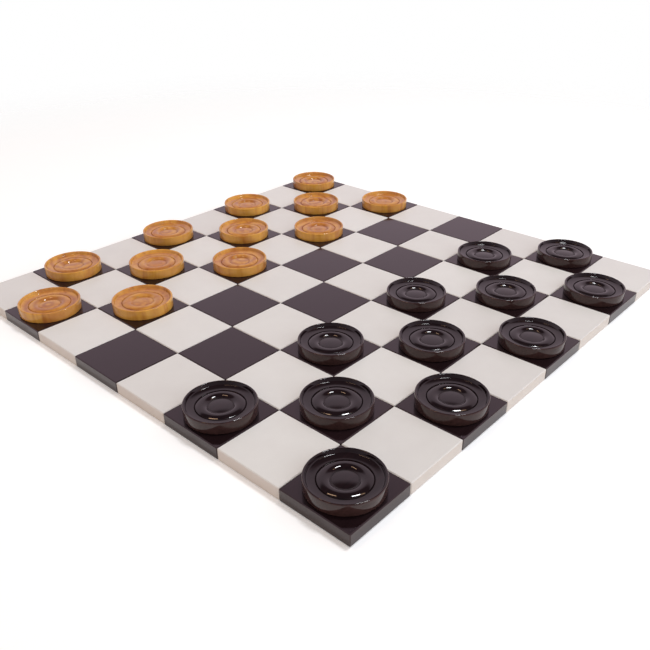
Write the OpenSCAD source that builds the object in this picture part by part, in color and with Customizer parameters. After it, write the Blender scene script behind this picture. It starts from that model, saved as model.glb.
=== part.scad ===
// Draughts set: a board of square wooden tiles pegged edge to edge, with twenty-four turned men on it.
// The origin is the middle of the board's underside, +Z is up, and the dark men stand on the -Y side.
// Lengths are in millimetres.

/* [Board] */
// Side of one square tile
tile_w = 110; // [104:0.5:160]
// Thickness of a tile
tile_t = 19; // [14:0.5:30]
// Gap between two neighbouring tiles
seam = 0.5; // [0.1:0.1:1]
// Width taken off each edge of a tile
edge_ease = 1.2; // [0.3:0.1:2]

/* [Dowels] */
// Diameter of the dowel that pegs two tiles together
dowel_d = 8; // [5:0.5:10]
// Length of a dowel
dowel_l = 30; // [20:1:50]
// Bevel on each end of a dowel
dowel_bevel = 1.2; // [0.5:0.1:2]
// Room all round a dowel in its hole
dowel_play = 0.1; // [0.05:0.05:0.3]
// Room left past each end of a dowel
dowel_end_room = 1; // [0.5:0.1:3]

/* [Men] */
// Diameter of a man
man_d = 101.6; // [90:0.2:110]
// Height of a man
man_h = 17.5; // [12:0.5:22]
// Bevel around the foot of a man
foot_bevel = 1.2; // [0.5:0.1:2]
// Width of the raised rim
rim_w = 3.4; // [2.4:0.1:5]
// Fall of the rounded lip from its crest to its edges
lip_drop = 0.8; // [0.4:0.1:1.1]
// Depth of the dish below the crest of the rim
dish_depth = 6.7; // [4:0.1:8]
// Distance that the wall of the dish leans in on its way down
wall_lean = 1.4; // [0.8:0.1:3]
// Radius of the hollow corner at the foot of that wall
cove_r = 2.2; // [0.8:0.1:2.6]
// Width of the hollow ring between the wall and the groove
ring_w = 11.4; // [8:0.1:14]
// Rise of that ring from the groove to the foot of the wall
ring_rise = 1.6; // [0.5:0.1:2.4]
// Width of the fine groove around the bead
groove_w = 1.4; // [0.6:0.1:2.4]
// Depth of that groove
groove_depth = 1.1; // [0.4:0.1:1.6]
// Rise of the raised bead above the ring's lowest place, at the groove
bead_rise = 2.3; // [1.5:0.1:3.4]
// Width of the bead's outer slope, from the groove up to its crest
bead_outer_w = 8.9; // [7:0.1:10]
// Width of the bead's steeper inner slope, from its crest down to the valley round the eye
bead_inner_w = 8.6; // [7:0.1:9.5]
// Depth of that valley below the ring's lowest place
valley_depth = 1.2; // [0.5:0.1:2]
// Rise of the domed eye in the middle above the valley
eye_rise = 1.1; // [0.4:0.1:2]

/* [Hidden] */
$fn = 96;

// Squares along each side of the board, and rows of men on each side
squares = 8;
men_rows = 3;

// Finishes
white_paint = "#ddd7d3";
dark_lacquer = "#43383b";
honey_wood = "#c3883f";
black_lacquer = "#2b2222";
beech = "#d8b98c";

// Spacing of the squares, and where the seams between them lie
pitch = tile_w + seam;
seams = [1 : squares - 1];
lines = [0 : squares - 1];

// A hole takes half of a dowel and the room past its end, less half of the seam
hole_d = dowel_d + 2 * dowel_play;
hole_l = dowel_l / 2 - seam / 2 + dowel_end_room;

// Heights in a turned man
lip_z = man_h - lip_drop;
floor_z = man_h - dish_depth;
wall_foot_z = floor_z + ring_rise;
crest_z = floor_z + bead_rise;
valley_z = floor_z - valley_depth;
core_z = floor_z / 3;

// Radii in a turned man, from the outside in
man_r = man_d / 2;
rim_r = man_r - rim_w;
wall_foot_r = rim_r - wall_lean;
groove_r = wall_foot_r - ring_w;
crest_r = groove_r - bead_outer_w;
valley_r = crest_r - bead_inner_w;

// Depth by which a blend sinks into what it runs out on, so that the two curves cross cleanly
blend_sink = 0.02;

// Length by which one turned form runs on into the next
lap = 1;

// Radius of the arc that is level at its crest and falls by the given drop over the given width
function arc_radius(w, drop) = (pow(w, 2) + pow(drop, 2)) / (2 * drop);

// The lip is the arc over the rim's width that falls by lip_drop at both edges
lip_r = arc_radius(rim_w / 2, lip_drop);

// The ring is an arc that is level at the groove and rises to the foot of the wall
ring_r = arc_radius(ring_w, ring_rise);
ring_mid = [groove_r, floor_z + ring_r];

// The wall leans from its foot up to the rim
wall_angle = atan2(lip_z - wall_foot_z, wall_lean);
wall_top_r = rim_r + lip_drop / tan(wall_angle);
up_wall = [cos(wall_angle), sin(wall_angle)];
off_wall = [-sin(wall_angle), cos(wall_angle)];

// The cove runs out on the wall and on the ring, so its middle lies at the same distance from both
cove_rise = cove_r - blend_sink;
off_ring_mid = [wall_foot_r, wall_foot_z] + cove_rise * off_wall - ring_mid;
cove_up = -off_ring_mid * up_wall - sqrt(pow(off_ring_mid * up_wall, 2)
    - off_ring_mid * off_ring_mid + pow(ring_r - cove_rise, 2));
cove_mid = ring_mid + off_ring_mid + cove_up * up_wall;

// The bead's two slopes are level where they meet at its crest, and the eye is a low dome
outer_slope_r = arc_radius(bead_outer_w, bead_rise);
inner_slope_r = arc_radius(bead_inner_w, bead_rise + valley_depth);
eye_dome_r = arc_radius(valley_r, eye_rise);

// The near left corner square is dark, and the men open on the dark squares of the outer rows
function is_dark(column, row) = (column + row) % 2 == 0;
function dark_squares(rows) = [for (row = rows, column = lines) if (is_dark(column, row)) [column, row]];
dark_start = dark_squares([0 : men_rows - 1]);
light_start = dark_squares([squares - men_rows : squares - 1]);

// Middle of a square at the level of the board's underside, also for half squares
module at_square(column, row) {
    middle = (squares - 1) / 2;
    translate([(column - middle) * pitch, (row - middle) * pitch, 0]) children();
}

// Rectangle about the origin with its corners cut off by the edge easing
module eased_rectangle(w, h) {
    x = w / 2;
    y = h / 2;
    c = edge_ease;
    polygon([
        [c - x, -y], [x - c, -y], [x, c - y], [x, y - c],
        [x - c, y], [c - x, y], [-x, y - c], [-x, c - y]
    ]);
}

// One tile with every edge eased: the shape that its plan and its two elevations have in common
module tile_blank() {
    translate([0, 0, tile_t / 2]) intersection() {
        linear_extrude(height = tile_t, center = true) eased_rectangle(tile_w, tile_w);
        rotate([90, 0, 0]) linear_extrude(height = tile_w, center = true) eased_rectangle(tile_w, tile_t);
        rotate([90, 0, 90]) linear_extrude(height = tile_w, center = true) eased_rectangle(tile_w, tile_t);
    }
}

// Blind hole for a dowel in the middle of the edge that faces the given turn
module dowel_hole(turned) {
    rotate(turned) translate([tile_w / 2 - hole_l, 0, tile_t / 2]) rotate([0, 90, 0])
        cylinder(h = hole_l + seam, d = hole_d);
}

// A tile has a hole in each edge that meets another tile, and the board's outer edges are plain
module tile(column, row) {
    at_square(column, row) difference() {
        tile_blank();
        if (column < squares - 1) dowel_hole(0);
        if (row < squares - 1) dowel_hole(90);
        if (column > 0) dowel_hole(180);
        if (row > 0) dowel_hole(270);
    }
}

// The tiles of one colour in one row
module dark_tiles(row) {
    color(dark_lacquer) for (column = lines) if (is_dark(column, row)) tile(column, row);
}

module light_tiles(row) {
    color(white_paint) for (column = lines) if (!is_dark(column, row)) tile(column, row);
}

// A dowel lying along X at half the thickness of the tiles
module dowel() {
    r = dowel_d / 2;
    end = dowel_l / 2;
    translate([0, 0, tile_t / 2]) rotate([0, 90, 0]) rotate_extrude() polygon([
        [0, -end], [r - dowel_bevel, -end], [r, dowel_bevel - end],
        [r, end - dowel_bevel], [r - dowel_bevel, end], [0, end]
    ]);
}

// One dowel across each seam, halfway along it
module dowels_within_rows() {
    color(beech) for (row = lines, joint = seams) at_square(joint - 0.5, row) dowel();
}

module dowels_between_rows() {
    color(beech) for (column = lines, joint = seams) at_square(column, joint - 0.5) rotate(90) dowel();
}

// Half section of a man without its curves: foot, side, rim, leaning wall and core
module plain_section() {
    under_foot = [wall_foot_r, wall_foot_z] - lap * up_wall;
    polygon([
        [0, 0], [man_r - foot_bevel, 0], [man_r, foot_bevel], [man_r, man_h], [wall_top_r, man_h],
        under_foot, [under_foot[0], core_z], [0, core_z]
    ]);
}

// Everything under the rounded lip: the circle of the lip, and all that lies below its edges
module under_lip() {
    translate([man_r - rim_w / 2, man_h - lip_r]) circle(lip_r);
    square([man_d, lip_z - blend_sink]);
}

// Hollow ring, which reaches into the wall and under the bead
module ring_section() {
    difference() {
        translate([groove_r - lap, core_z / 2]) square([ring_w + 2 * lap, crest_z - core_z / 2]);
        translate(ring_mid) circle(ring_r);
    }
}

// Hollow corner between the wall of the dish and the ring, cut from a patch that reaches into both
module cove_section() {
    to_ring = (cove_mid - ring_mid) / norm(cove_mid - ring_mid);
    to_wall = -off_wall;
    reach = 2 * cove_r;
    translate(cove_mid) difference() {
        polygon([
            [0, 0], reach * to_ring, reach * (to_ring + to_wall) / (1 + to_ring * to_wall), reach * to_wall
        ]);
        circle(cove_r);
    }
}

// What lies under an arc between two radii, down into the core; the arc's crest is at the given point
module under_arc(crest, arc_r, from_r, to_r) {
    intersection() {
        translate([crest[0], crest[1] - arc_r]) circle(arc_r);
        translate([from_r, core_z / 2]) square([to_r - from_r, man_h]);
    }
}

// Raised bead, which falls gently to the groove and steeply to the valley round the eye
module bead_section() {
    under_arc([crest_r, crest_z], outer_slope_r, crest_r, groove_r + lap);
    under_arc([crest_r, crest_z], inner_slope_r, valley_r - lap, crest_r);
}

// Low dome of the eye
module eye_section() {
    under_arc([0, valley_z + eye_rise], eye_dome_r, 0, valley_r + lap);
}

// Half section of the fine groove at the outer foot of the bead, drawn open to above the bead's foot
module groove_cut() {
    open_w = 3 * groove_w / 2;
    open_z = 2 * groove_depth;
    translate([groove_r, floor_z]) polygon([[0, -groove_depth], [open_w, open_z], [-open_w, open_z]]);
}

// A man is one piece turned on a lathe
module turned_man() {
    rotate_extrude() difference() {
        union() {
            intersection() {
                plain_section();
                under_lip();
            }
            ring_section();
            cove_section();
            bead_section();
            eye_section();
        }
        groove_cut();
    }
}

// A man stands in the middle of its square on top of the tile
module dark_man(k) {
    square_at = dark_start[k];
    color(black_lacquer) at_square(square_at[0], square_at[1]) translate([0, 0, tile_t]) turned_man();
}

module light_man(k) {
    square_at = light_start[k];
    color(honey_wood) at_square(square_at[0], square_at[1]) translate([0, 0, tile_t]) turned_man();
}

for (row = lines) {
    dark_tiles(row);
    light_tiles(row);
}
dowels_within_rows();
dowels_between_rows();
for (k = [0 : len(dark_start) - 1]) {
    dark_man(k);
    light_man(k);
}
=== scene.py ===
# %% [markdown]
# # A draughts set on a board of pegged tiles
#
# The object is a large draughts set: sixty-four thick wooden tiles lie edge to edge as an eight by
# eight board, and twenty-four dished men, turned on a lathe, stand on their opening squares. A packed
# model gives the solids and the bodies that move. This lesson dresses them: it sets up a camera, light
# and floor, turns the men as smooth new pieces, and gives each finish its own material.

# %% The frame and its sizes
import math
import random

import bmesh
import bpy
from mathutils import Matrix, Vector


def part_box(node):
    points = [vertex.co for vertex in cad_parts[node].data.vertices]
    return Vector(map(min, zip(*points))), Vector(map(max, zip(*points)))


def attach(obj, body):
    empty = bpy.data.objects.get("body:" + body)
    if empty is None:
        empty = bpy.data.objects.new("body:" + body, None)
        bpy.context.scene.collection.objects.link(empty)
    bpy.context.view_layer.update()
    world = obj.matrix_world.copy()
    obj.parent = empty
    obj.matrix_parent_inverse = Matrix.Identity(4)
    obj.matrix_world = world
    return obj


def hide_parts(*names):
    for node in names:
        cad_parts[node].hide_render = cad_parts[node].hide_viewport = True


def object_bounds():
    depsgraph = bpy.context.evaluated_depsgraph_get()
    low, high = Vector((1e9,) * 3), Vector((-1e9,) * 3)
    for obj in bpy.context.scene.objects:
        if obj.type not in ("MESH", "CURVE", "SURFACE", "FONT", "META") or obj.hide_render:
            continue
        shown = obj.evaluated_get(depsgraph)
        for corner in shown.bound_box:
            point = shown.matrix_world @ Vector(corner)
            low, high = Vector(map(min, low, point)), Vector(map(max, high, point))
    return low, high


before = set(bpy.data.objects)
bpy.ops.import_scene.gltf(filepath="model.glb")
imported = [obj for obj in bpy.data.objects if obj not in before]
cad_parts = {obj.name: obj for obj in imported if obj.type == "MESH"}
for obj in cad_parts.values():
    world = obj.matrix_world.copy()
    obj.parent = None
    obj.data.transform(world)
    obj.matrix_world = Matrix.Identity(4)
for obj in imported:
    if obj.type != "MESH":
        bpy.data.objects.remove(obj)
cad_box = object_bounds()

MM = 0.001
first_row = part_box("dark_tiles_row_1")
next_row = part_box("dark_tiles_row_2")
pitch = next_row[0].y - first_row[0].y
tile_thickness = first_row[1].z - first_row[0].z
board_top = Vector((0, 0, first_row[1].z))
print(f"squares {pitch / MM:.1f} mm apart, tiles {tile_thickness / MM:.1f} mm thick")

# %% [markdown]
# ## Camera
#
# The photograph looks down on a corner of the board. A camera could be moved by eye until the squares
# agree, but one that was fitted to their corners is surer. Its place is counted in squares from the
# middle of the board's top, so the view stays right if the tiles change size. Its lens gives the fitted
# field of view on a new camera's sensor, which is 36 mm wide.

# %% Camera
camera_place = Vector((-7.987, -7.349, 5.274))
camera_turn = (60.68, 0.42, -47.69)
camera_lens = 40.5

scene = bpy.context.scene
camera = bpy.data.objects.new("camera", bpy.data.cameras.new("camera"))
scene.collection.objects.link(camera)
camera.location = board_top + camera_place * pitch
camera.rotation_euler = [math.radians(angle) for angle in camera_turn]
camera.data.lens = camera_lens
scene.camera = camera
scene.view_settings.view_transform = "Standard"
print(f"camera {camera.location.length:.2f} m from the middle of the board")

# %% [markdown]
# ## Helpers for materials
#
# Colours are read off as sRGB hex values, but a shader socket wants linear light, so one function
# converts them. A second one adds any node with its settings, and sets or links its inputs, so that a
# whole node tree reads like a recipe. A third one starts an empty material. Inputs go by name, or by
# number where a node has several of one name: in a Mix node 0 is the share, 2 and 3 are the numbers to
# mix, and 6 and 7 are the colours to mix.

# %% Helpers for materials
def colour(code):
    """Linear RGBA for a socket, from an sRGB hex value."""
    shares = [int(code[k:k + 2], 16) / 255 for k in (1, 3, 5)]
    linear = [s / 12.92 if s <= 0.04045 else ((s + 0.055) / 1.055) ** 2.4 for s in shares]
    return (*linear, 1.0)


def add_node(tree, kind, settings=None, inputs=None, stops=None):
    """Adds a node with its settings; an input is a value or the socket to link, and stops fill a ramp."""
    node = tree.nodes.new(kind)
    for name, value in (settings or {}).items():
        setattr(node, name, value)
    for name, value in (inputs or {}).items():
        if isinstance(value, bpy.types.NodeSocket):
            tree.links.new(value, node.inputs[name])
        else:
            node.inputs[name].default_value = value
    for k, (place, code) in enumerate(stops or []):
        ramp = node.color_ramp.elements
        stop = ramp[k] if k < 2 else ramp.new(place)
        stop.position = place
        stop.color = colour(code)
    return node


def new_material(name):
    """An empty material, with its node tree."""
    material = bpy.data.materials.new(name)
    material.use_nodes = True
    material.node_tree.nodes.clear()
    return material, material.node_tree


print(f"the middle grey #808080 is {colour('#808080')[0]:.3f} in linear light")

# %% [markdown]
# ## Light
#
# The set lies in a bright room under a few lamps high above it. The world gives the room's broad light,
# and area lamps add what is stronger and smaller. Both are placed as the viewer sees them, by the way
# to the camera and the way to its right, because that is how light is read off a photograph.

# %% Directions
BRIGHT_TO_RIGHT = 0.9

to_camera = Vector((camera_place.x, camera_place.y, 0)).normalized()
to_right = Vector((-to_camera.y, to_camera.x, 0))
upward = Vector((0, 0, 1))
bright_side = (to_camera + BRIGHT_TO_RIGHT * to_right).normalized()
print(f"brightest {math.degrees(bright_side.angle(to_camera)):.0f} degrees to the viewer's right")

# %% [markdown]
# ### The room
#
# A world of one plain colour would do for matt pieces, but gloss lacquer shows what it mirrors. So this
# world differs by the kind of ray that meets it. To the camera it is plain white. Mirrors see it a
# little rosy, which gives the dark lacquers most of their plum tone, and darker overhead and on the
# viewer's side. What it sheds on matt surfaces comes mostly from the viewer's right, as cool as
# daylight, and is weaker and warmer from the left. That lights the upright faces.

# %% The room in mirrors
ROOM_IN_MIRRORS, CEILING_IN_MIRRORS = 0.96, 0.15
CEILING_FROM, CEILING_TO = math.radians(41), math.radians(50)
VIEWER_SIDE_SHARE = 0.35

world = bpy.data.worlds.new("bright_room")
scene.world = world
world.use_nodes = True
tree = world.node_tree
tree.nodes.clear()
direction = add_node(tree, "ShaderNodeTexCoord").outputs["Generated"]
rise = add_node(tree, "ShaderNodeSeparateXYZ", None, {0: direction}).outputs["Z"]
overhead = add_node(tree, "ShaderNodeMapRange", {"interpolation_type": "SMOOTHSTEP"},
                    {"Value": rise, "From Min": math.sin(CEILING_FROM), "From Max": math.sin(CEILING_TO),
                     "To Min": ROOM_IN_MIRRORS, "To Max": CEILING_IN_MIRRORS}).outputs[0]
ahead = add_node(tree, "ShaderNodeVectorMath", {"operation": "DOT_PRODUCT"},
                 {0: direction, 1: to_camera}).outputs["Value"]
viewer_side = add_node(tree, "ShaderNodeMapRange", None,
                       {"Value": ahead, "To Min": 1.0, "To Max": VIEWER_SIDE_SHARE}).outputs[0]
in_mirrors = add_node(tree, "ShaderNodeMath", {"operation": "MULTIPLY"},
                      {0: overhead, 1: viewer_side}).outputs[0]
print(f"mirrored ceiling from {math.degrees(CEILING_FROM):.0f} degrees up")

# %% The room's light on matt surfaces
BACK_FILL, FRONT_FILL = 0.28, 1.5
WARM_LEFT, COOL_RIGHT = (0.2, "#ffdfc4"), (0.65, "#f3f9ff")

frontal = add_node(tree, "ShaderNodeVectorMath", {"operation": "DOT_PRODUCT"},
                   {0: direction, 1: bright_side}).outputs["Value"]
fill = add_node(tree, "ShaderNodeMapRange", None,
                {"Value": frontal, "To Min": BACK_FILL, "To Max": FRONT_FILL}).outputs[0]
rightward = add_node(tree, "ShaderNodeVectorMath", {"operation": "DOT_PRODUCT"},
                     {0: direction, 1: to_right}).outputs["Value"]
from_left = add_node(tree, "ShaderNodeMapRange", None, {"Value": rightward, "From Min": -1.0}).outputs[0]
fill_tint = add_node(tree, "ShaderNodeValToRGB", None, {0: from_left}, [WARM_LEFT, COOL_RIGHT]).outputs[0]
print("fill from", BACK_FILL, "to", FRONT_FILL)

# %% World
ROOM_TINT = "#ffe8f5"

rays = add_node(tree, "ShaderNodeLightPath").outputs
mirrored = add_node(tree, "ShaderNodeMath", {"operation": "MAXIMUM"},
                    {0: rays["Is Glossy Ray"], 1: rays["Is Transmission Ray"]}).outputs[0]
light = add_node(tree, "ShaderNodeMix", {"data_type": "FLOAT"},
                 {0: mirrored, 2: fill, 3: in_mirrors}).outputs[0]
strength = add_node(tree, "ShaderNodeMath", {"operation": "MAXIMUM"},
                    {0: light, 1: rays["Is Camera Ray"]}).outputs[0]
light_tint = add_node(tree, "ShaderNodeMix", {"data_type": "RGBA"},
                      {0: mirrored, 6: fill_tint, 7: colour(ROOM_TINT)}).outputs[2]
tint = add_node(tree, "ShaderNodeMix", {"data_type": "RGBA"},
                {0: rays["Is Camera Ray"], 6: light_tint, 7: colour("#ffffff")}).outputs[2]
room = add_node(tree, "ShaderNodeBackground", None, {"Color": tint, "Strength": strength})
add_node(tree, "ShaderNodeOutputWorld", None, {"Surface": room.outputs[0]})
print("made the world", world.name)

# %% [markdown]
# ### Lamps
#
# One strong white lamp hangs to the right, and weaker warm ones hang to both sides. Each glossy man
# shows them as small streaks on its bead. Point lamps would show as dots and cast hard shadows, so
# these are oblong area lamps. They also give much of the light from above.

# %% Lamps
LAMP_DISTANCE = 3.6
LAMP_FORWARD, LAMP_UP = -0.08, 0.96
WARM_LAMP_SIZE, WARM_LAMP_TINT = (0.9, 0.3), "#ffd2aa"


def lamp(name, right, size, watts, tint):
    """An area lamp, placed by its direction as the camera sees it and aimed at the board's middle."""
    data = bpy.data.lights.new(name, "AREA")
    data.shape = "RECTANGLE"
    data.size, data.size_y = size
    data.energy = watts
    data.color = colour(tint)[:3]
    made = bpy.data.objects.new(name, data)
    scene.collection.objects.link(made)
    direction = (to_camera * LAMP_FORWARD + to_right * right + upward * LAMP_UP).normalized()
    made.location = board_top + direction * LAMP_DISTANCE
    made.rotation_euler = direction.to_track_quat("Z", "X").to_euler()


lamp("white_lamp", right=0.25, size=(0.7, 0.4), watts=52, tint="#f9fcff")
lamp("warm_lamp_left", right=-0.3, size=WARM_LAMP_SIZE, watts=12, tint=WARM_LAMP_TINT)
lamp("warm_lamp_right", right=0.4, size=WARM_LAMP_SIZE, watts=5, tint=WARM_LAMP_TINT)
print("lamps", LAMP_DISTANCE, "m away")

# %% [markdown]
# ## Floor
#
# The board lies on a plain white floor. A wide plane would show its horizon, so a round sheet takes the
# contact shadow under the board, and fades out to the white of the room further off. A faint glow that
# only the camera and mirrors see brings the sheet up to that white, and no edge shows.

# %% Floor sheet
FLOOR_RADIUS, FLOOR_SIDES = 2.6, 96
FLOOR_DROP = 0.2 * MM

bm = bmesh.new()
bmesh.ops.create_circle(bm, cap_ends=True, segments=FLOOR_SIDES, radius=FLOOR_RADIUS)
bmesh.ops.translate(bm, verts=bm.verts, vec=(0, 0, cad_box[0].z - FLOOR_DROP))
floor_mesh = bpy.data.meshes.new("floor")
bm.to_mesh(floor_mesh)
bm.free()
floor = bpy.data.objects.new("floor", floor_mesh)
scene.collection.objects.link(floor)
print("floor radius", FLOOR_RADIUS, "m")

# %% White floor
FADE_FROM, FADE_TO = 1.0, 2.2
FLOOR_LIFT = 0.2

white_floor, tree = new_material("white_floor")
place = add_node(tree, "ShaderNodeTexCoord").outputs["Object"]
distance = add_node(tree, "ShaderNodeVectorMath", {"operation": "LENGTH"}, {0: place}).outputs["Value"]
fade = add_node(tree, "ShaderNodeMapRange", {"interpolation_type": "SMOOTHSTEP"},
                {"Value": distance, "From Min": FADE_FROM, "From Max": FADE_TO}).outputs[0]
matt = add_node(tree, "ShaderNodeBsdfDiffuse", None, {"Color": colour("#f7f8fa")})
rays = add_node(tree, "ShaderNodeLightPath").outputs
seen = add_node(tree, "ShaderNodeMath", {"operation": "MAXIMUM"},
                {0: rays["Is Camera Ray"], 1: rays["Is Glossy Ray"]}).outputs[0]
lift = add_node(tree, "ShaderNodeMath", {"operation": "MULTIPLY"}, {0: seen, 1: FLOOR_LIFT}).outputs[0]
glow = add_node(tree, "ShaderNodeEmission", None, {"Strength": lift})
lit = add_node(tree, "ShaderNodeAddShader", None, {0: matt.outputs[0], 1: glow.outputs[0]})
clear = add_node(tree, "ShaderNodeBsdfTransparent")
sheet = add_node(tree, "ShaderNodeMixShader", None, {0: fade, 1: lit.outputs[0], 2: clear.outputs[0]})
add_node(tree, "ShaderNodeOutputMaterial", None, {"Surface": sheet.outputs[0]})
floor_mesh.materials.append(white_floor)
print("floor fades from", FADE_FROM, "to", FADE_TO, "m")

# %% [markdown]
# ## White tiles
#
# The tiles are square wooden blocks, and half of them have a satin white paint, rolled on. So their tops
# show a faint mottle. Their sides are painted a little darker and warmer than the tops: painted shade, for
# the dimmer and warmer light that falls on them. Each tile was painted by itself and differs a little in
# tone from its neighbours. A material for each tile could show that, but a noise that is constant over one
# square does it with a single material.

# %% White tile paint
MOTTLE_SIZE = 38 * MM
WHITE_TILE_OWN_TONE = 0.45
# A roller's stipple is finer than this, but would not show
STIPPLE_SIZE = 2.2 * MM
PAINT_IOR = 1.48


def square_noise(tree, place):
    """A number from 0 to 1 that is the same all over one square of the board."""
    counted = add_node(tree, "ShaderNodeVectorMath", {"operation": "SCALE"},
                       {0: place, "Scale": 1 / pitch}).outputs[0]
    square = add_node(tree, "ShaderNodeVectorMath", {"operation": "FLOOR"}, {0: counted}).outputs[0]
    return add_node(tree, "ShaderNodeTexWhiteNoise", None, {"Vector": square}).outputs["Value"]


def satin_white_paint():
    """Satin white paint on wood: matt enough to hide reflections, with a roller's faint mottle."""
    material, tree = new_material("satin_white_paint")
    coords = add_node(tree, "ShaderNodeTexCoord").outputs
    place = coords["Object"]
    up = add_node(tree, "ShaderNodeSeparateXYZ", None, {0: coords["Normal"]}).outputs["Z"]
    mottle = add_node(tree, "ShaderNodeTexNoise", None,
                      {"Vector": place, "Scale": 1 / MOTTLE_SIZE, "Detail": 3.0}).outputs["Fac"]
    tone = add_node(tree, "ShaderNodeMix", {"data_type": "FLOAT"},
                    {0: WHITE_TILE_OWN_TONE, 2: mottle, 3: square_noise(tree, place)}).outputs[0]
    top = add_node(tree, "ShaderNodeValToRGB", None, {0: tone},
                   [(0.25, "#dad8d6"), (0.75, "#e2e1df")]).outputs[0]
    # Painted shade: the sides are a little darker and warmer than the tops, for the dimmer, warmer light
    # that the upright faces get.
    side = add_node(tree, "ShaderNodeValToRGB", None, {0: tone},
                    [(0.25, "#d6cac0"), (0.75, "#ddd2c9")]).outputs[0]
    paint = add_node(tree, "ShaderNodeMix", {"data_type": "RGBA"}, {0: up, 6: side, 7: top}).outputs[2]
    stipple = add_node(tree, "ShaderNodeTexNoise", None,
                       {"Vector": place, "Scale": 1 / STIPPLE_SIZE, "Detail": 2.0}).outputs["Fac"]
    bump = add_node(tree, "ShaderNodeBump", None,
                    {"Height": stipple, "Strength": 0.12, "Distance": 0.2 * MM}).outputs[0]
    sheen = add_node(tree, "ShaderNodeMapRange", None,
                     {"Value": mottle, "To Min": 0.36, "To Max": 0.46}).outputs[0]
    shader = add_node(tree, "ShaderNodeBsdfPrincipled", None,
                      {"Base Color": paint, "Roughness": sheen, "IOR": PAINT_IOR, "Normal": bump})
    add_node(tree, "ShaderNodeOutputMaterial", None, {"Surface": shader.outputs[0]})
    return material


white_paint = satin_white_paint()
print("made", white_paint.name)

# %% [markdown]
# ## Dark tiles
#
# The other tiles have a dark brown gloss lacquer, almost black. What the eye reads as grey on their
# tops is the bright room, mirrored at a low angle. A grey paint would look right from the photograph's
# side alone, so the ground stays dark and the mirror does the rest. A faint grain under the lacquer and
# the waves of its surface keep it from looking like glass.

# %% Dark tile lacquer
TILE_GRAIN_WIDTH = 3 * MM
TILE_GRAIN_STRETCH = (0.06, 1, 1)
DARK_TILE_OWN_TONE = 0.4
PEEL_SIZE = 6 * MM
# Lacquers are near 1.5, but these mirror a little less than that
LACQUER_IOR = 1.43


def dark_gloss_lacquer():
    """Dark brown nitro lacquer on wood: a near mirror over an almost black ground with faint grain."""
    material, tree = new_material("dark_gloss_lacquer")
    coords = add_node(tree, "ShaderNodeTexCoord").outputs
    place = coords["Object"]
    up = add_node(tree, "ShaderNodeSeparateXYZ", None, {0: coords["Normal"]}).outputs["Z"]
    along = add_node(tree, "ShaderNodeMapping", None,
                     {"Vector": place, "Scale": TILE_GRAIN_STRETCH}).outputs[0]
    grain = add_node(tree, "ShaderNodeTexNoise", None,
                     {"Vector": along, "Scale": 1 / TILE_GRAIN_WIDTH, "Detail": 4.0}).outputs["Fac"]
    tone = add_node(tree, "ShaderNodeMix", {"data_type": "FLOAT"},
                    {0: DARK_TILE_OWN_TONE, 2: grain, 3: square_noise(tree, place)}).outputs[0]
    top = add_node(tree, "ShaderNodeValToRGB", None, {0: tone},
                   [(0.25, "#170d0f"), (0.75, "#201417")]).outputs[0]
    # Painted light: the upright sides get a lighter brown ground than the tops, for the light that falls on
    # them from the front.
    side = add_node(tree, "ShaderNodeValToRGB", None, {0: tone},
                    [(0.25, "#342a28"), (0.75, "#3f3330")]).outputs[0]
    ground = add_node(tree, "ShaderNodeMix", {"data_type": "RGBA"}, {0: up, 6: side, 7: top}).outputs[2]
    peel = add_node(tree, "ShaderNodeTexNoise", None,
                    {"Vector": place, "Scale": 1 / PEEL_SIZE, "Detail": 2.0}).outputs["Fac"]
    bump = add_node(tree, "ShaderNodeBump", None,
                    {"Height": peel, "Strength": 0.05, "Distance": 0.1 * MM}).outputs[0]
    gloss = add_node(tree, "ShaderNodeMapRange", None,
                     {"Value": peel, "To Min": 0.09, "To Max": 0.15}).outputs[0]
    shader = add_node(tree, "ShaderNodeBsdfPrincipled", None,
                      {"Base Color": ground, "Roughness": gloss, "IOR": LACQUER_IOR, "Normal": bump,
                       "Specular Tint": colour("#fff0f8")})
    add_node(tree, "ShaderNodeOutputMaterial", None, {"Surface": shader.outputs[0]})
    return material


dark_lacquer = dark_gloss_lacquer()
print("made", dark_lacquer.name)

# %% [markdown]
# ## Dowels
#
# Beech dowels peg the tiles together inside their edges. They only show when the board comes apart,
# but they get a real finish as well: bare beech, pale and matt, with fine darker flecks. On pegs that
# small one fine noise is enough for that.

# %% Beech
FLECK_SIZE = 1.5 * MM


def bare_beech():
    """Bare beech: pale pinkish wood, matt, with fine flecks."""
    material, tree = new_material("bare_beech")
    place = add_node(tree, "ShaderNodeTexCoord").outputs["Object"]
    fleck = add_node(tree, "ShaderNodeTexNoise", None,
                     {"Vector": place, "Scale": 1 / FLECK_SIZE, "Detail": 3.0}).outputs["Fac"]
    wood = add_node(tree, "ShaderNodeValToRGB", None, {0: fleck},
                    [(0.3, "#b98f66"), (0.6, "#d8b98c")]).outputs[0]
    shader = add_node(tree, "ShaderNodeBsdfPrincipled", None, {"Base Color": wood, "Roughness": 0.65})
    add_node(tree, "ShaderNodeOutputMaterial", None, {"Surface": shader.outputs[0]})
    return material


beech = bare_beech()
print("made", beech.name)

# %% [markdown]
# ## Board
#
# The tiles are plain blocks with eased edges, and the dowels are plain pegs. The solids of the frame
# have those shapes already, so nothing is modelled again. Each solid just gets its material.

# %% Board
ROWS = range(1, 9)


def finish_node(node, material):
    """Gives a solid of the frame its material."""
    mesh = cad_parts[node].data
    mesh.materials.clear()
    mesh.materials.append(material)


for row in ROWS:
    finish_node(f"dark_tiles_row_{row}", dark_lacquer)
    finish_node(f"light_tiles_row_{row}", white_paint)
for node in ("dowels_within_rows", "dowels_between_rows"):
    finish_node(node, beech)
print("finished", len(ROWS), "rows of tiles and their dowels")

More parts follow.
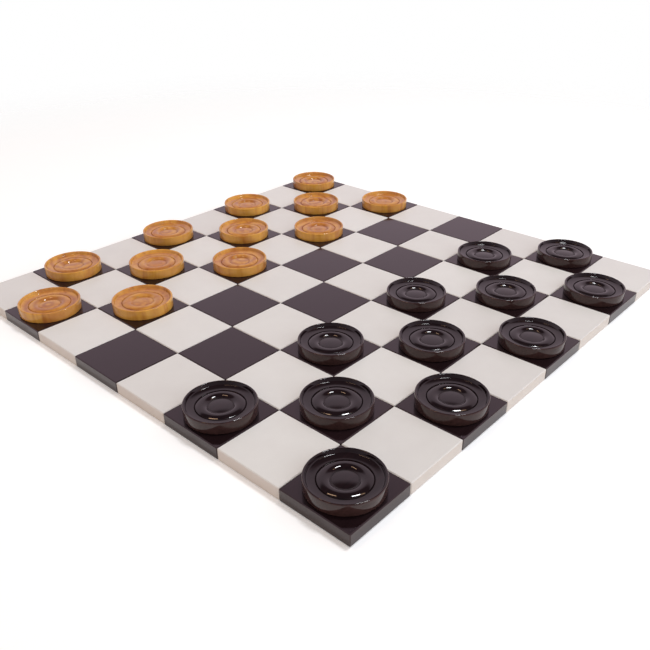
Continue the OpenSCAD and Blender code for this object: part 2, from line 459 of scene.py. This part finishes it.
# %% [markdown]
# ## The turned men
#
# A man is a disc turned on a lathe: a rounded foot, a straight side, a rounded lip, a wall that leans
# down into a dish, a hollow ring, a fine groove, a raised bead that is steeper on its inner side, and a
# low dome in the middle, the eye. The solid has the same shape, but its mesh is loose triangles, which
# gloss lacquer would show as facets. So a man is turned again as a smooth piece: a pen draws the half
# section as lines and arcs, and one full spin makes the disc. Most of the arcs are level at one end and
# fall by a known drop over a known width, which fixes their radius.

# %% Profile of a man
man_low, man_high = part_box("dark_man_1")
man_r = (man_high.x - man_low.x) / 2
man_h = man_high.z - man_low.z
foot_round = 1.2 * MM
rim_w = 3.4 * MM
lip_drop = 0.8 * MM
dish_depth = 6.7 * MM
wall_lean = 1.4 * MM
cove_r = 2.2 * MM
ring_w, ring_rise = 11.4 * MM, 1.6 * MM
groove_w, groove_depth = 1.4 * MM, 1.1 * MM
bead_rise = 2.3 * MM
bead_outer_w, bead_inner_w = 8.9 * MM, 8.6 * MM
valley_depth = 1.2 * MM
eye_rise = 1.1 * MM


def arc_radius(width, drop):
    """Radius of the arc that is level at one end and falls by a drop over a width."""
    return (width ** 2 + drop ** 2) / (2 * drop)


lip_r = rim_w / 2
floor_z = man_h - dish_depth
wall_foot = Vector((man_r - rim_w - wall_lean, floor_z + ring_rise))
groove_r = wall_foot.x - ring_w
crest = Vector((groove_r - bead_outer_w, floor_z + bead_rise))
valley = Vector((crest.x - bead_inner_w, floor_z - valley_depth))
ring_r = arc_radius(ring_w, ring_rise)
outer_slope_r = arc_radius(bead_outer_w, bead_rise)
inner_slope_r = arc_radius(bead_inner_w, bead_rise + valley_depth)
eye_dome_r = arc_radius(valley.x, eye_rise)
print(f"man {2 * man_r / MM:.1f} mm across, {man_h / MM:.1f} mm high, eye {2 * valley.x / MM:.1f} mm")

# %% [markdown]
# ### The cove
#
# The cove at the foot of the wall touches both the wall and the ring. A bevel could round that corner,
# but its radius would then depend on the angle there. Instead, the middle of the cove is found: it lies
# one cove radius off the wall and one cove radius inside the ring's arc, where a line meets a circle.

# %% Cove at the foot of the wall
wall_angle = math.atan2(man_h - lip_drop - wall_foot.y, wall_lean)
up_wall = Vector((math.cos(wall_angle), math.sin(wall_angle)))
off_wall = Vector((-up_wall.y, up_wall.x))
ring_mid = Vector((groove_r, floor_z + ring_r))
off_ring_mid = wall_foot + cove_r * off_wall - ring_mid
along = off_ring_mid.dot(up_wall)
cove_up = -along - math.sqrt(along ** 2 - off_ring_mid.length_squared + (ring_r - cove_r) ** 2)
cove_mid = ring_mid + off_ring_mid + cove_up * up_wall
cove_foot_tilt = math.atan2(cove_mid.x - ring_mid.x, ring_mid.y - cove_mid.y)
print(f"cove turns {math.degrees(wall_angle - cove_foot_tilt):.0f} degrees")

# %% [markdown]
# ### The half section
#
# A turner would check the work against a template of the section. Here a pen draws it, from the middle
# of the foot out and up to the middle of the eye. The pen is the last point drawn: extruding it makes a
# line, and spinning it about a middle makes an arc. So only the places where one form meets the next
# have to be known.

# %% Half section
FOOT_STEPS, LIP_STEPS, COVE_STEPS, RING_STEPS = 4, 12, 6, 6
OUTER_STEPS, INNER_STEPS, EYE_STEPS = 10, 12, 6
QUARTER_TURN = math.pi / 2
# The groove's inner wall runs higher than its outer one, because the bead rises there
GROOVE_TO_BEAD = 0.75


def draw_line(bm, pen, r, z):
    """Draws a straight line from the pen to a radius and a height, and returns the pen there."""
    end = bmesh.ops.extrude_vert_indiv(bm, verts=[pen])["verts"][0]
    end.co = (r, 0, z)
    return end


def draw_arc(bm, pen, r, z, angle, steps):
    """Swings the pen about a middle, anticlockwise for a positive angle, and returns it there."""
    arc = bmesh.ops.spin(bm, geom=[pen], cent=(r, 0, z), axis=(0, -1, 0), angle=angle, steps=steps)
    return next(v for v in arc["geom_last"] if isinstance(v, bmesh.types.BMVert))


groove_tilt = math.asin(groove_w / 2 / ring_r)
bead_from = math.asin((bead_outer_w - GROOVE_TO_BEAD * groove_w) / outer_slope_r)
inner_turn = math.asin(bead_inner_w / inner_slope_r)
eye_turn = math.asin(valley.x / eye_dome_r)

turned = bmesh.new()
pen = turned.verts.new((0, 0, 0))
pen = draw_line(turned, pen, man_r - foot_round, 0)
pen = draw_arc(turned, pen, man_r - foot_round, foot_round, QUARTER_TURN, FOOT_STEPS)
pen = draw_line(turned, pen, man_r, man_h - lip_r)
pen = draw_arc(turned, pen, man_r - lip_r, man_h - lip_r, QUARTER_TURN + wall_angle, LIP_STEPS)
pen = draw_line(turned, pen, *(cove_mid - cove_r * off_wall))
pen = draw_arc(turned, pen, *cove_mid, cove_foot_tilt - wall_angle, COVE_STEPS)
pen = draw_arc(turned, pen, *ring_mid, groove_tilt - cove_foot_tilt, RING_STEPS)
pen = draw_line(turned, pen, groove_r, floor_z - groove_depth)
pen = draw_line(turned, pen, crest.x + outer_slope_r * math.sin(bead_from),
                crest.y - outer_slope_r * (1 - math.cos(bead_from)))
pen = draw_arc(turned, pen, crest.x, crest.y - outer_slope_r, bead_from, OUTER_STEPS)
pen = draw_arc(turned, pen, crest.x, crest.y - inner_slope_r, inner_turn, INNER_STEPS)
draw_arc(turned, pen, 0, valley.y + eye_rise - eye_dome_r, eye_turn, EYE_STEPS)
print("half section of", len(turned.verts), "points")

# %% [markdown]
# ### Turning
#
# The half section is spun once about the man's axis. The points on the axis come out many times over,
# so doubles are merged, and then the faces are made to point outwards. All men are alike, so each one
# is a copy of this mesh, moved to its own square, and rides on its own body.

# %% Turning
SPIN_STEPS = 144
SAME_POINT = 0.001 * MM
SHARP_EDGE = math.radians(28)

bmesh.ops.spin(turned, geom=turned.verts[:] + turned.edges[:], cent=(0, 0, 0), axis=(0, 0, 1),
               angle=2 * math.pi, steps=SPIN_STEPS, use_merge=True)
bmesh.ops.remove_doubles(turned, verts=turned.verts, dist=SAME_POINT)
bmesh.ops.recalc_face_normals(turned, faces=turned.faces)
for face in turned.faces:
    face.smooth = True
print("turned man of", len(turned.faces), "faces")


def set_out_man(node, material):
    """Copies the turned man to where its node stands, and rides it on that man's own body."""
    low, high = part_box(node)
    bm = turned.copy()
    bmesh.ops.translate(bm, verts=bm.verts, vec=((low.x + high.x) / 2, (low.y + high.y) / 2, low.z))
    mesh = bpy.data.meshes.new(f"turned_{node}")
    bm.to_mesh(mesh)
    bm.free()
    mesh.set_sharp_from_angle(angle=SHARP_EDGE)
    mesh.materials.append(material)
    man = bpy.data.objects.new(f"turned_{node}", mesh)
    scene.collection.objects.link(man)
    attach(man, node)
    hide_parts(node)


# %% [markdown]
# ## Hollows of the men
#
# On all men the polish doesn't reach into the groove and the valley, which stay duller, and on the light men
# these hollows are also painted darker, as painted shade. These places could be painted on each mesh. But
# how far a point lies from the man's axis tells where they are, and each axis stands in the middle of a
# square, so one pattern serves for all men.

# %% Places on a man
HOLLOWS = ((valley.x, 2.4 * MM), (groove_r, 1.6 * MM))


def off_axis(tree, place):
    """Distance from a man's axis, which stands in the middle of a square."""
    counted = add_node(tree, "ShaderNodeVectorMath", {"operation": "SCALE"},
                       {0: place, "Scale": 1 / pitch}).outputs[0]
    within = add_node(tree, "ShaderNodeVectorMath", {"operation": "FRACTION"}, {0: counted}).outputs[0]
    arm = add_node(tree, "ShaderNodeVectorMath", {"operation": "MULTIPLY_ADD"},
                   {0: within, 1: (pitch, pitch, 0), 2: (-pitch / 2, -pitch / 2, 0)}).outputs[0]
    return add_node(tree, "ShaderNodeVectorMath", {"operation": "LENGTH"}, {0: arm}).outputs["Value"]


def in_hollow(tree, away):
    """1 at the bottom of the valley and the groove, and 0 away from them."""
    share = add_node(tree, "ShaderNodeMath", {"operation": "DIVIDE"}, {0: away, 1: man_r}).outputs[0]
    stops = []
    for radius, reach in HOLLOWS:
        stops += [((radius - reach) / man_r, "#000000"), (radius / man_r, "#ffffff"),
                  ((radius + reach) / man_r, "#000000")]
    return add_node(tree, "ShaderNodeValToRGB", None, {0: share}, stops).outputs[0]


print("hollows at", [round(radius / MM, 1) for radius, _ in HOLLOWS], "mm from the axis")

# %% [markdown]
# ## Dark men
#
# The dark men have a black-brown high gloss lacquer, thick and level, so they mirror the room and the
# tiles around them. As on the dark tiles, the ground is nearly black and most of what shows is mirror.
# Round the upright side the ground is a lighter brown: painted light, for the light that the upright face
# catches from the front. Two materials could meet at the lip, but one that changes with the distance from
# the axis shows no seam there.

# %% Black lacquer
MEN = range(1, 13)
MAN_GRAIN_WIDTH = 4 * MM
MAN_GRAIN_STRETCH = (0.08, 1, 1)
SIDE_FROM, SIDE_TO = man_r - lip_r, man_r - lip_r / 4
LACQUER_WAVE = 9 * MM
POLISHED, UNPOLISHED = 0.05, 0.45


def black_high_gloss():
    """Black-brown high gloss lacquer: dark ground, sharp mirror."""
    material, tree = new_material("black_high_gloss")
    place = add_node(tree, "ShaderNodeTexCoord").outputs["Object"]
    along = add_node(tree, "ShaderNodeMapping", None,
                     {"Vector": place, "Scale": MAN_GRAIN_STRETCH}).outputs[0]
    grain = add_node(tree, "ShaderNodeTexNoise", None,
                     {"Vector": along, "Scale": 1 / MAN_GRAIN_WIDTH, "Detail": 3.0}).outputs["Fac"]
    away = off_axis(tree, place)
    outside = add_node(tree, "ShaderNodeMapRange", None,
                       {"Value": away, "From Min": SIDE_FROM, "From Max": SIDE_TO}).outputs[0]
    top = add_node(tree, "ShaderNodeValToRGB", None, {0: grain},
                   [(0.3, "#10070a"), (0.7, "#1b0d10")]).outputs[0]
    # Painted light: the upright side gets a lighter brown ground than the top, for the light it catches from
    # the front.
    side = add_node(tree, "ShaderNodeValToRGB", None, {0: grain},
                    [(0.3, "#332220"), (0.7, "#402b29")]).outputs[0]
    ground = add_node(tree, "ShaderNodeMix", {"data_type": "RGBA"}, {0: outside, 6: top, 7: side}).outputs[2]
    gloss = add_node(tree, "ShaderNodeMapRange", None,
                     {"Value": in_hollow(tree, away), "To Min": POLISHED, "To Max": UNPOLISHED}).outputs[0]
    wave = add_node(tree, "ShaderNodeTexNoise", None,
                    {"Vector": place, "Scale": 1 / LACQUER_WAVE, "Detail": 1.0}).outputs["Fac"]
    bump = add_node(tree, "ShaderNodeBump", None,
                    {"Height": wave, "Strength": 0.06, "Distance": 0.1 * MM}).outputs[0]
    shader = add_node(tree, "ShaderNodeBsdfPrincipled", None,
                      {"Base Color": ground, "Roughness": gloss, "IOR": LACQUER_IOR, "Normal": bump})
    add_node(tree, "ShaderNodeOutputMaterial", None, {"Surface": shader.outputs[0]})
    return material


black_gloss = black_high_gloss()
for k in MEN:
    set_out_man(f"dark_man_{k}", black_gloss)
print("set out", len(MEN), "dark men")

# %% [markdown]
# ## Light men
#
# The light men are a pale wood under a clear varnish that has gone amber. They were cut across a log,
# so the growth rings swirl on top and the grain stands upright at the side. A flat picture of wood would
# have to be wrapped round each man, and would show its seams. A pattern that fills space is cut by the
# man's surface, as real wood is. So the figure is drawn in the log's own coordinates, with its axis
# along Z, and each man gets its own turn and place in the log.

# %% Place in the log
OFF_PITH = (3 * MM, 24 * MM)
LOG_LENGTH = 900 * MM
MOST_SLANT = math.radians(8)
log = random.Random(12)


def cut_from_log(tree, place, node):
    """Where a point of a man lay in the log."""
    low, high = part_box(node)
    middle = Vector((log.uniform(*OFF_PITH), 0, log.uniform(0, LOG_LENGTH)))
    slant = [log.uniform(-MOST_SLANT, MOST_SLANT), log.uniform(-MOST_SLANT, MOST_SLANT),
             log.uniform(0, math.tau)]
    block = add_node(tree, "ShaderNodeMapping", {"vector_type": "TEXTURE"},
                     {"Vector": place, "Location": (low + high) / 2, "Rotation": slant}).outputs[0]
    return add_node(tree, "ShaderNodeVectorMath", {"operation": "ADD"}, {0: block, 1: middle}).outputs[0]


print(f"men cut from a log of {LOG_LENGTH / MM:.0f} mm")

# %% [markdown]
# ### Wood between the rings
#
# Between its rings the wood has darker streaks along the log, and rusty patches towards the heart. Both
# come from noise: drawn out along the log's axis it gives streaks, and left as it is it gives patches.
# The dish is painted a little deeper in tone than the side, as painted shade inside the dish and painted
# light on the side, so two sets of tones are blended at the rim.

# %% Wood between the rings
STREAK_WIDTH = 11 * MM
STREAK_STRETCH = (1, 1, 0.1)
PATCH_SIZE = 45 * MM
# The dish tones are darker than the side tones: painted shade in the dish, painted light on the side.
DISH_TONES = [(0.3, "#d09544"), (0.5, "#c98b3f"), (0.62, "#bf7e39"), (0.76, "#a0632e")]
SIDE_TONES = [(0.3, "#dca349"), (0.5, "#d59a42"), (0.62, "#ca8b3c"), (0.76, "#ab6d31")]
HEART_TONE, MOST_HEART = "#a95a2a", 0.45


def upright_streaks(tree, in_log):
    """A number from 0 to 1 that runs in streaks along the log."""
    upright = add_node(tree, "ShaderNodeVectorMath", {"operation": "MULTIPLY"},
                       {0: in_log, 1: STREAK_STRETCH}).outputs[0]
    return add_node(tree, "ShaderNodeTexNoise", None,
                    {"Vector": upright, "Scale": 1 / STREAK_WIDTH, "Detail": 2.5,
                     "Roughness": 0.55}).outputs["Fac"]


def streaked_wood(tree, in_log, streak, outside):
    """Pale wood with darker streaks, deeper in tone in the dish as painted shade, and rusty patches of
    heartwood.
    """
    dish = add_node(tree, "ShaderNodeValToRGB", None, {0: streak}, DISH_TONES).outputs[0]
    side = add_node(tree, "ShaderNodeValToRGB", None, {0: streak}, SIDE_TONES).outputs[0]
    wood = add_node(tree, "ShaderNodeMix", {"data_type": "RGBA"}, {0: outside, 6: dish, 7: side}).outputs[2]
    patch = add_node(tree, "ShaderNodeTexNoise", None,
                     {"Vector": in_log, "Scale": 1 / PATCH_SIZE, "Detail": 2.0}).outputs["Fac"]
    heart = add_node(tree, "ShaderNodeMapRange", None,
                     {"Value": patch, "From Min": 0.48, "From Max": 0.68, "To Max": MOST_HEART}).outputs[0]
    return add_node(tree, "ShaderNodeMix", {"data_type": "RGBA"},
                    {0: heart, 6: wood, 7: colour(HEART_TONE)}).outputs[2]


print(f"streaks {STREAK_WIDTH / MM:.0f} mm wide, patches {PATCH_SIZE / MM:.0f} mm")

# %% [markdown]
# ### Growth rings
#
# Each year's growth ends in a darker band of late wood. Circles drawn one by one would look mechanical.
# A wave texture makes rings about the log's axis, and its distortion lets them swirl. The strength
# differs from man to man, because some blocks show their rings more than others.

# %% Growth rings
# Real rings lie closer together, but finer ones would not show
RING_SPACING = 15 * MM
# A wave texture repeats every 2 pi / 20 units at a scale of 1
RING_SCALE = 2 * math.pi / 20 / RING_SPACING
RING_SHARPNESS = 1.3
RING_STRENGTH = (0.3, 0.7)
SIDE_RING_SHARE = 0.6


def growth_rings(tree, in_log, outside):
    """Share of dark late wood: swirling rings about the log's axis, fainter at the man's side."""
    ring_strength = log.uniform(*RING_STRENGTH)
    rings = add_node(tree, "ShaderNodeTexWave",
                     {"wave_type": "RINGS", "rings_direction": "Z", "wave_profile": "SIN"},
                     {"Vector": in_log, "Scale": RING_SCALE, "Distortion": 7.0, "Detail": 2.0,
                      "Detail Scale": 0.4, "Detail Roughness": 0.5}).outputs["Fac"]
    late_wood = add_node(tree, "ShaderNodeMath", {"operation": "POWER"},
                         {0: rings, 1: RING_SHARPNESS}).outputs[0]
    ring_depth = add_node(tree, "ShaderNodeMapRange", None,
                          {"Value": outside, "To Min": ring_strength,
                           "To Max": SIDE_RING_SHARE * ring_strength}).outputs[0]
    return add_node(tree, "ShaderNodeMath", {"operation": "MULTIPLY"},
                    {0: late_wood, 1: ring_depth}).outputs[0]


print(f"rings {RING_SPACING / MM:.0f} mm apart")

# %% [markdown]
# ### Honey varnish
#
# The varnish is clear and level, so its gloss is as sharp as the lacquer's. The groove and the valley are
# painted darker: painted shade in the hollows. A clear coat over a matt wood could show the gloss, but a
# wood that is smooth itself looks the same and has one gloss to set.

# %% Honey varnish
RING_TONE = "#9a5a36"
# Painted shade in the groove and the valley: its colour and its largest share.
HOLLOW_SHADE_TONE, MOST_HOLLOW_SHADE = "#7d4a1c", 0.25
DISH_TO, RIM_FROM = wall_foot.x - cove_r, man_r - rim_w


def honey_varnished_wood(node):
    """Clear varnish on pale wood: swirling rings, upright streaks and rusty patches under gloss."""
    material, tree = new_material(f"honey_varnish_{node}")
    place = add_node(tree, "ShaderNodeTexCoord").outputs["Object"]
    away = off_axis(tree, place)
    outside = add_node(tree, "ShaderNodeMapRange", None,
                       {"Value": away, "From Min": DISH_TO, "From Max": RIM_FROM}).outputs[0]
    in_log = cut_from_log(tree, place, node)
    streak = upright_streaks(tree, in_log)
    streaked = streaked_wood(tree, in_log, streak, outside)
    rings = growth_rings(tree, in_log, outside)
    swirled = add_node(tree, "ShaderNodeMix", {"data_type": "RGBA"},
                       {0: rings, 6: streaked, 7: colour(RING_TONE)}).outputs[2]
    # Painted shade: the groove and the valley are darkened towards this colour.
    hollow_shade = add_node(tree, "ShaderNodeMapRange", None,
                      {"Value": in_hollow(tree, away), "To Max": MOST_HOLLOW_SHADE}).outputs[0]
    wood = add_node(tree, "ShaderNodeMix", {"data_type": "RGBA"},
                    {0: hollow_shade, 6: swirled, 7: colour(HOLLOW_SHADE_TONE)}).outputs[2]
    level = add_node(tree, "ShaderNodeBump", None,
                     {"Height": streak, "Strength": 0.03, "Distance": 0.1 * MM}).outputs[0]
    shader = add_node(tree, "ShaderNodeBsdfPrincipled", None,
                      {"Base Color": wood, "Roughness": POLISHED, "IOR": LACQUER_IOR, "Normal": level})
    add_node(tree, "ShaderNodeOutputMaterial", None, {"Surface": shader.outputs[0]})
    return material


for k in MEN:
    set_out_man(f"light_man_{k}", honey_varnished_wood(f"light_man_{k}"))
turned.free()
print("set out", len(MEN), "light men")
